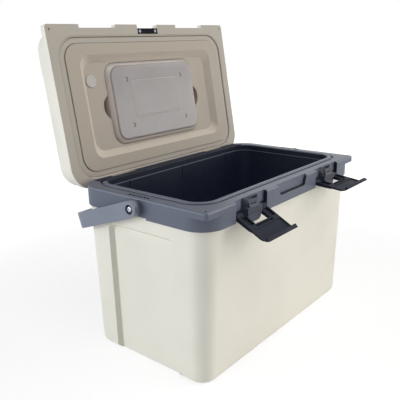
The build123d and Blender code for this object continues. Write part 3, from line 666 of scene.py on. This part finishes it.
def collar_zones() -> tuple[Zone, ...]:
    """Paint the open lid's shadow on the collar's rear strip, and shade in its finger recess, handle slots
    and bay walls.

    Returns:
        The zones.
    """
    front = -127.6
    recess_end, recess_reach, recess_bottom = 46.0, 9.5, 249.5
    slot_half_width, slot_half_length = 3.2, 24.0
    wall_half = 1.2
    # Painted shadow: the strip behind the mouth is darkened as if the open lid shaded it
    zones = [Zone((-186.0, 99.0, 256.0), (186.0, 122.0, 270.0), LID_SHADOW_COLOUR, 1.0, 0.4)]
    # Painted shade along the bottom of the finger recess
    zones.append(shaded((-recess_end, front, 248.2), (recess_end, -123.0, 251.6)))
    # Painted shade on the finger recess's side walls
    for low_x in (recess_end - recess_reach, -recess_end):
        zones.append(shaded((low_x, front, recess_bottom), (low_x + recess_reach, -123.8, 264.0)))
    # Painted shade in the handle slots
    for end in BOTH_ENDS:
        low = (end * SLOT_X_MM - slot_half_width, -slot_half_length, 262.0)
        high = (end * SLOT_X_MM + slot_half_width, slot_half_length, 266.4)
        zones.append(shaded(low, high))
    # Painted shade on the latch bays' side walls
    for end in BOTH_ENDS:
        for side in BOTH_ENDS:
            wall = end * BAY_X_MM + side * BAY_HALF_WIDTH_MM
            zones.append(shaded((wall - wall_half, -127.4, 236.0), (wall + wall_half, -105.0, 264.5)))
    return tuple(zones)


def liner_zones() -> tuple[Zone, ...]:
    """Paint a highlight on the liner's ledge below its mouth, and shade in the guide grooves of its long
    walls.

    Returns:
        The zones.
    """
    guides_x = (-130.0, 0.0, 130.0)
    guide_half_width = 1.3
    # Painted highlight on the ledge below the liner's mouth
    zones = [Zone((-205.0, -115.0, 257.5), (205.0, 118.0, 258.5), LEDGE_HIGHLIGHT_COLOUR, 0.2)]
    # Painted shade down each guide groove
    for x in guides_x:
        low = (x - guide_half_width, -130.0, 20.0)
        high = (x + guide_half_width, 130.0, 257.0)
        zones.append(Zone(low, high, GUIDE_SHADE_COLOUR, 0.3, 0.3))
    return tuple(zones)


def tab_zones() -> tuple[Zone, ...]:
    """Paint shade in the valleys between a release tab's ribs, and in the slot above them.

    Returns:
        The zones of both tabs.
    """
    valleys_z = (244.3, 246.7, 249.1, 251.5)
    valley_half = 0.4
    slot_half_width = 6.6
    zones = []
    # Painted shade in each valley between the ribs
    for z in valleys_z:
        low = (-140.0, -134.4, z - valley_half)
        high = (140.0, -132.4, z + valley_half)
        zones.append(Zone(low, high, VALLEY_SHADE_COLOUR, 0.2, 0.3))
    # Painted shade inside each tab's slot
    for end in BOTH_ENDS:
        low = (end * BAY_X_MM - slot_half_width, -130.1, 255.8)
        high = (end * BAY_X_MM + slot_half_width, -128.0, 257.8)
        zones.append(Zone(low, high, TAB_SLOT_SHADE_COLOUR, 0.2, 0.3))
    return tuple(zones)


def lining_zones() -> tuple[Zone, ...]:
    """Paint light on the sloping steps of the lid's lining, and on the strip along its hinge side, which
    lie in shade.

    Returns:
        The zones, with the lid shut.
    """
    return (
        # Painted light on the tray's sloping walls
        Zone((-200.0, -120.0, 267.8), (200.0, 109.0, 276.2), LINING_WALL_LIGHT_COLOUR),
        # Painted light on the hinge-side strip, which the collar shades
        Zone((-186.0, 110.6, 266.0), (186.0, 128.0, 268.2), LINING_RIM_LIGHT_COLOUR, 0.5),
    )


def pack_zones() -> tuple[Zone, ...]:
    """Paint light on the ice pack's sides, and on the line round its face, against the shade they fall in.

    Returns:
        The zones, with the lid shut.
    """
    left, front, right, rear = -112.0, -70.0, 112.0, 73.0
    return (
        # Painted light on the pack's sloping sides
        Zone((left, front, 270.8), (right, rear, 292.0), PACK_WALL_LIGHT_COLOUR, 1.2),
        # Painted light on the side walls of the pack's face panel
        Zone((left, front, 267.65), (right, rear, 268.35), PACK_SEAM_LIGHT_COLOUR, 0.1),
    )


def recess_zones() -> tuple[Zone, ...]:
    """Paint shade on the sloping walls of the recesses in the tub's ends, but not on their floors.

    Returns:
        The zones.
    """
    floor_x, face_x = 201.1, 207.4
    half_width, top_z = 70.0, 220.0
    # Painted shade on each recess's sloping wall
    left = Zone((-face_x, -half_width, -1.0), (-floor_x, half_width, top_z), RECESS_SHADE_COLOUR, lean=-TUB_LEAN)
    right = Zone((floor_x, -half_width, -1.0), (face_x, half_width, top_z), RECESS_SHADE_COLOUR, lean=TUB_LEAN)
    return left, right


# ------------------------------------------------------------------ the carrier's finishes
SLATE_COLOUR = (97, 103, 118)

# Each finish's edge lightening is partly wear, partly a painted highlight along its edges
CREAM = Moulded("cream_plastic", (232, 228, 216), 0.5, edge_wear_and_highlight=0.3, zones=recess_zones())
LID_TWO_TONE = TwoTone("lid_plastic", (229, 225, 214), (166, 158, 146))
GREIGE = Moulded("greige_plastic", (162, 151, 138), 0.48, zones=lining_zones(), on_lid=True)
SLATE = Moulded("slate_plastic", SLATE_COLOUR, 0.34, 0.35, cloud=0.03, edge_wear_and_highlight=0.16)
COLLAR = Moulded(
    "collar_plastic", SLATE_COLOUR, 0.34, 0.35, cloud=0.03, edge_wear_and_highlight=0.16, zones=collar_zones()
)
HANDLE = Moulded("handle_plastic", (126, 133, 146), 0.38, 0.35, cloud=0.03, edge_wear_and_highlight=0.16)
LEVER = Moulded("dark_slate_plastic", (30, 34, 47), 0.48, 0.1, cloud=0.03, edge_wear_and_highlight=0.1)
TAB = Moulded("tab_plastic", (68, 73, 88), 0.4, 0.3, cloud=0.03, edge_wear_and_highlight=0.2, zones=tab_zones())
NAVY = Moulded(
    "navy_liner_plastic",
    (14, 19, 32),
    0.42,
    0.25,
    cloud=0.03,
    edge_wear_and_highlight=0.06,
    # A painted glow that lifts the dark liner as if light fell on it
    glow=(9, 12, 20),
    zones=liner_zones(),
)
BLACK = Moulded("black_plastic", (6, 7, 15), 0.5, 0.05, edge_wear_and_highlight=0.0)
GASKET = Moulded("gasket_rubber", (166, 159, 149), 0.55, grain_mm=0.8)
PLUG = Moulded("plug_plastic", (172, 167, 162), 0.45)
FOAM = Moulded("wall_foam", (226, 216, 180), 0.9, grain_mm=1.5, grain_depth_mm=0.3)
ZINC = Steel("zinc_steel", (205, 207, 211))
BLACK_SCREW = Steel("blackened_steel", (110, 112, 120), 0.4)
GEL = GelBottle("gel_bottle", (136, 130, 130), zones=pack_zones())


# ------------------------------------------------------------------ studio
@dataclass(frozen=True)
class Lamp:
    """A square soft lamp that faces the middle of the carrier."""

    name: str
    place_m: Place
    size_m: float
    watts: float
    tint: Colour

    aim_m: ClassVar[Place] = (0.0, 0.0, 0.25)

    def hang(self) -> None:
        """Add the lamp to the scene."""
        data = bpy.data.lights.new(self.name, "AREA")
        data.energy = self.watts
        data.size = self.size_m
        data.color = self.tint
        lamp = bpy.data.objects.new(self.name, data)
        bpy.context.collection.objects.link(lamp)
        lamp.location = self.place_m
        towards = Vector(self.aim_m) - Vector(self.place_m)
        lamp.rotation_euler = towards.to_track_quat("-Z", "Y").to_euler()


WARM_WHITE = (1.0, 0.98, 0.945)
LAMPS = (
    Lamp("left", (-2.3, 1.35, 0.25), 2.0, 64.0, (0.91, 0.955, 1.0)),
    Lamp("right_front", (2.4, -2.8, 1.5), 3.2, 80.0, WARM_WHITE),
    Lamp("glint", (1.43, -0.08, 1.75), 0.25, 1.6, (1.0, 1.0, 1.0)),
    Lamp("low_front", (1.9, -2.2, 0.15), 1.4, 14.0, WARM_WHITE),
    Lamp("above", (-0.3, -0.7, 2.2), 1.0, 7.5, (1.0, 0.99, 0.97)),
)


@dataclass
class Studio:
    """Floor, light and the camera's view."""

    lens_mm: float = 48.84
    sensor_mm: float = 36.0
    eye_mm: Place = (-718.8, -535.8, 478.9)
    heading_deg: float = -50.31
    tilt_deg: float = 73.4
    roll_deg: float = -1.10
    floor_m: float = 12.0
    floor_grey: LinearColour = (0.9, 0.9, 0.9, 1.0)
    floor_glow: float = 1.2
    shadow_m: float = 0.5
    shadow_hidden: float = 0.6
    white: LinearColour = (1.0, 1.0, 1.0, 1.0)
    room_tint: LinearColour = (0.965, 0.985, 1.0, 1.0)
    room_strength: float = 0.34

    def build(self) -> None:
        """Make the floor, the world, the lamps and the camera."""
        bpy.context.scene.view_settings.view_transform = "Standard"
        self.floor()
        self.world()
        for lamp in LAMPS:
            lamp.hang()
        self.camera()

    def floor(self) -> None:
        """Make the pale floor, which shows white but keeps a faint shadow near the carrier."""
        bpy.ops.mesh.primitive_plane_add(size=self.floor_m)
        plane = bpy.context.object
        plane.name = "floor"
        surface = Surface("pale_floor")
        shader = surface.node("ShaderNodeBsdfDiffuse", {}, {"Color": self.floor_grey})
        white = surface.node(
            "ShaderNodeEmission", {}, {"Color": self.white, "Strength": self.floor_glow}
        )
        path = surface.node("ShaderNodeLightPath")
        seen = Field(surface, path.outputs["Is Camera Ray"])
        reach = surface.node("ShaderNodeVectorMath", {"operation": "LENGTH"}, {0: surface.place})
        far = Field(surface, reach.outputs["Value"]).between(self.shadow_m, 2 * self.shadow_m)
        share = seen * (far * (1 - self.shadow_hidden) + self.shadow_hidden)
        mix = surface.node(
            "ShaderNodeMixShader", {}, {0: share, 1: shader.outputs[0], 2: white.outputs[0]}
        )
        surface.node("ShaderNodeOutputMaterial", {}, {"Surface": mix.outputs[0]})
        plane.data.materials.append(surface.material)

    def world(self) -> None:
        """Light the scene softly from all round and show white behind it."""
        world = bpy.data.worlds.new("soft_room")
        bpy.context.scene.world = world
        world.use_nodes = True
        tree = Tree(world.node_tree)
        path = tree.node("ShaderNodeLightPath")
        seen = Field(tree, path.outputs["Is Camera Ray"])
        glossy = Field(tree, path.outputs["Is Glossy Ray"])
        through = Field(tree, path.outputs["Is Transmission Ray"])
        room = tree.node(
            "ShaderNodeBackground", {}, {"Color": self.room_tint, "Strength": self.room_strength}
        )
        white = tree.node("ShaderNodeBackground", {}, {"Color": self.white, "Strength": 1.0})
        shown = seen + glossy + through
        mix = tree.node(
            "ShaderNodeMixShader", {}, {0: shown, 1: room.outputs[0], 2: white.outputs[0]}
        )
        tree.node("ShaderNodeOutputWorld", {}, {"Surface": mix.outputs[0]})

    def camera(self) -> None:
        """Set the camera."""
        data = bpy.data.cameras.new("view")
        data.lens = self.lens_mm
        data.sensor_width = self.sensor_mm
        camera = bpy.data.objects.new("view", data)
        bpy.context.collection.objects.link(camera)
        camera.location = Vector(self.eye_mm) * MM
        turns = (
            Matrix.Rotation(radians(self.heading_deg), 3, "Z")
            @ Matrix.Rotation(radians(self.tilt_deg), 3, "X")
            @ Matrix.Rotation(radians(self.roll_deg), 3, "Z")
        )
        camera.rotation_euler = turns.to_euler()
        bpy.context.scene.camera = camera


class Side(Enum):
    """The two ends of the carrier, as seen from the latches."""

    LEFT = -1
    RIGHT = 1

    @property
    def tag(self) -> str:
        """The side's name as node names write it.

        Returns:
            The name in small letters.
        """
        return self.name.lower()


# ------------------------------------------------------------------ repeated trim
@dataclass
class RibRow:
    """A row of fine moulded ribs, set out by Geometry Nodes.

    The crest is a rib's width along x at its outer face, as a share of its width at its foot.
    """

    name: str
    centre_mm: Place
    count: int
    pitch_mm: float
    rib_mm: Place
    along: Place = (1.0, 0.0, 0.0)
    crest: float = 0.55
    bevel: float = 0.25

    def build(self, material: bpy.types.Material) -> bpy.types.Object:
        """Make the row as one plain mesh.

        Args:
            material: The finish of the ribs.

        Returns:
            The finished piece, at the origin.
        """
        host = new_object(f"{self.name}_host", self._rib())
        host.data.materials.append(material)
        modifier = host.modifiers.new("row", "NODES")
        modifier.node_group, names = self._tree(material)
        modifier[names["Count"]] = self.count
        modifier[names["Pitch"]] = self.pitch_mm * MM
        view = bpy.context.evaluated_depsgraph_get()
        mesh = bpy.data.meshes.new_from_object(host.evaluated_get(view))
        host.modifiers.clear()
        bpy.data.objects.remove(host)
        return new_object(self.name, mesh)

    def _rib(self) -> bpy.types.Mesh:
        """Make one rib: a bar whose outer face is narrower than its foot.

        Returns:
            The rib's mesh, at the origin.
        """
        long, deep, tall = (half * MM / 2 for half in self.rib_mm)
        mesh = bmesh.new()
        bmesh.ops.create_cube(mesh, size=2.0)
        for vertex in mesh.verts:
            outward = vertex.co.y < 0
            narrow = self.crest if outward else 1.0
            vertex.co = Vector((vertex.co.x * long * narrow, vertex.co.y * deep, vertex.co.z * tall))
        bmesh.ops.bevel(
            mesh,
            geom=mesh.edges[:],
            offset=min(long, deep) * self.bevel,
            segments=1,
            affect="EDGES",
        )
        made = bpy.data.meshes.new(f"{self.name}_rib")
        mesh.to_mesh(made)
        mesh.free()
        return made

    def _tree(self, material: bpy.types.Material) -> tuple[bpy.types.NodeTree, dict[str, str]]:
        """Make the tree that repeats the rib.

        Args:
            material: The finish set at the end of the tree.

        Returns:
            The tree, and the identifier of each named input.
        """
        group = bpy.data.node_groups.new(f"{self.name}_row", "GeometryNodeTree")
        tree = Tree(group)
        ports = group.interface
        ports.new_socket("Geometry", in_out="INPUT", socket_type="NodeSocketGeometry")
        count = ports.new_socket("Count", in_out="INPUT", socket_type="NodeSocketInt")
        pitch = ports.new_socket("Pitch", in_out="INPUT", socket_type="NodeSocketFloat")
        ports.new_socket("Geometry", in_out="OUTPUT", socket_type="NodeSocketGeometry")
        entry = tree.node("NodeGroupInput")
        step = tree.node(
            "ShaderNodeVectorMath",
            {"operation": "SCALE"},
            {0: self.along, "Scale": entry.outputs["Pitch"]},
        )
        gaps = Field(tree, entry.outputs["Count"]) - 1
        half_row = Field(tree, entry.outputs["Pitch"]) * gaps * -0.5
        reach = tree.node(
            "ShaderNodeVectorMath", {"operation": "SCALE"}, {0: self.along, "Scale": half_row}
        )
        start = tree.node(
            "ShaderNodeVectorMath",
            {"operation": "ADD"},
            {0: [part * MM for part in self.centre_mm], 1: reach.outputs[0]},
        )
        line = tree.node(
            "GeometryNodeMeshLine",
            {"mode": "OFFSET"},
            {
                "Count": entry.outputs["Count"],
                "Start Location": start.outputs[0],
                "Offset": step.outputs[0],
            },
        )
        copies = tree.node(
            "GeometryNodeInstanceOnPoints",
            {},
            {"Points": line.outputs[0], "Instance": entry.outputs["Geometry"]},
        )
        real = tree.node("GeometryNodeRealizeInstances", {}, {0: copies.outputs[0]})
        dressed = tree.node(
            "GeometryNodeSetMaterial", {}, {"Geometry": real.outputs[0], "Material": material}
        )
        tree.node("NodeGroupOutput", {}, {0: dressed.outputs[0]})
        return group, {"Count": count.identifier, "Pitch": pitch.identifier}


def new_object(name: str, mesh: bpy.types.Mesh) -> bpy.types.Object:
    """Add a mesh to the scene.

    Args:
        name: The object's name.
        mesh: Its mesh.

    Returns:
        The object, at the origin.
    """
    made = bpy.data.objects.new(name, mesh)
    bpy.context.collection.objects.link(made)
    return made


# ------------------------------------------------------------------ sub-assemblies
@dataclass
class Assembly:
    """What every sub-assembly shares: the frame, its finishes and its log."""

    frame: dict[str, Any]
    wardrobe: dict[str, bpy.types.Material]

    def material(self, finish: Any) -> bpy.types.Material:
        """Give the material of a finish, made once.

        Args:
            finish: The finish.

        Returns:
            The material, which every node in that finish shares.
        """
        if finish.name not in self.wardrobe:
            self.wardrobe[finish.name] = finish.make()
        return self.wardrobe[finish.name]

    def dress(self, node: str, finish: Any) -> None:
        """Give a CAD node its finish and report it.

        Args:
            node: The node's name.
            finish: The finish for all its slots.
        """
        for slot in self.frame["nodes"][node].material_slots:
            slot.material = self.material(finish)
        LOG.info("%s: %s", node, finish.name)

    def add(self, piece: bpy.types.Object, body: str, slot: str) -> None:
        """Set a new piece on its body and report it.

        Args:
            piece: The new piece.
            body: The body that carries it.
            slot: The slot of the record that it is made of. Not used.
        """
        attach(piece, body)
        LOG.info("%s: new, on %s, %d faces", piece.name, body, len(piece.data.polygons))


@dataclass
class Tub(Assembly):
    """The cream tub with its liner and the foam between them."""

    def build(self) -> None:
        """Dress the tub."""
        self.dress("body_shell", CREAM)
        self.dress("inner_liner", NAVY)
        self.dress("body_foam", FOAM)


@dataclass
class Collar(Assembly):
    """The slate collar, with the fine rib rows of its latch bays and handle slots."""

    bay_depth_mm: float = 5.5
    ribs: int = 13
    rib_pitch_mm: float = 2.6
    rib_mm: Place = (1.1, 4.6, 2.0)
    rib_rooted_mm: float = 0.2
    rib_sunk_mm: float = 0.3
    slot_depth_mm: float = 2.2
    bars: int = 5
    bar_pitch_mm: float = 7.0
    bar_length_mm: float = 3.4
    bar_width_mm: float = 1.6
    bar_sunk_mm: float = 0.4

    def build(self) -> None:
        """Dress the collar and set its rib rows."""
        self.dress("collar", COLLAR)
        for side in Side:
            for row in (self.bay_ribs(side), self.slot_bars(side)):
                self.add(row.build(self.material(SLATE)), "box", "slate")

    def bay_ribs(self, side: Side) -> RibRow:
        """Set out the ribs along the top of one latch bay.

        Args:
            side: The bay's side.

        Returns:
            The row.
        """
        _, deep, tall = self.rib_mm
        y = COLLAR_FRONT_MM + self.bay_depth_mm - deep / 2 + self.rib_rooted_mm
        z = COLLAR_TOP_MM - tall / 2 - self.rib_sunk_mm
        centre = (side.value * BAY_X_MM, y, z)
        return RibRow(f"bay_ribs_{side.tag}", centre, self.ribs, self.rib_pitch_mm, self.rib_mm)

    def slot_bars(self, side: Side) -> RibRow:
        """Set out the bars across one slot in the collar's end.

        Args:
            side: The slot's end.

        Returns:
            The row.
        """
        z = COLLAR_TOP_MM - self.slot_depth_mm / 2 - self.bar_sunk_mm
        return RibRow(
            f"slot_bars_{side.tag}",
            (side.value * SLOT_X_MM, 0.0, z),
            self.bars,
            self.bar_pitch_mm,
            (self.bar_length_mm, self.bar_width_mm, self.slot_depth_mm),
            along=(0.0, 1.0, 0.0),
            crest=1.0,
        )


@dataclass
class Latch(Assembly):
    """One lever with its release tab and pin."""

    side: Side

    def build(self) -> None:
        """Dress the latch."""
        self.dress(f"latch_lever_{self.side.tag}", LEVER)
        self.dress(f"release_tab_{self.side.tag}", TAB)
        self.dress(f"latch_pin_{self.side.tag}", ZINC)


@dataclass
class Handle(Assembly):
    """The bail handle with its hubs, washers and screws."""

    def build(self) -> None:
        """Dress the handle."""
        self.dress("handle_bail", HANDLE)
        for side in Side:
            self.dress(f"handle_hub_{side.tag}", SLATE)
            self.dress(f"handle_washer_{side.tag}", LEVER)
            self.dress(f"handle_screw_{side.tag}", ZINC)


@dataclass
class Lid(Assembly):
    """The two-tone lid with its lining, gasket, plug, catch plate and hinge pins."""

    def build(self) -> None:
        """Dress the lid."""
        self.dress("lid_shell", LID_TWO_TONE)
        self.dress("lid_liner", GREIGE)
        self.dress("lid_gasket", GASKET)
        self.dress("lid_foam", FOAM)
        self.dress("foam_port_plug", PLUG)
        self.dress("catch_plate", BLACK)
        self.dress("catch_plate_screws", BLACK_SCREW)
        for side in Side:
            self.dress(f"hinge_pin_{side.tag}", ZINC)


@dataclass
class IcePack(Assembly):
    """The cooling pack held in the lid."""

    def build(self) -> None:
        """Dress the pack."""
        self.dress("ice_pack", GEL)


def main() -> None:
    """Build everything in order."""
    logging.basicConfig(level=logging.INFO, format="%(name)s %(message)s")
    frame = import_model()
    Studio().build()
    wardrobe: dict[str, bpy.types.Material] = {}
    parts: list[Any] = [Tub(frame, wardrobe), Collar(frame, wardrobe)]
    parts += [Latch(frame, wardrobe, side) for side in Side]
    parts += [Handle(frame, wardrobe), Lid(frame, wardrobe), IcePack(frame, wardrobe)]
    for part in parts:
        LOG.info("building %s", type(part).__name__)
        part.build()


if __name__ == "__main__":
    main()
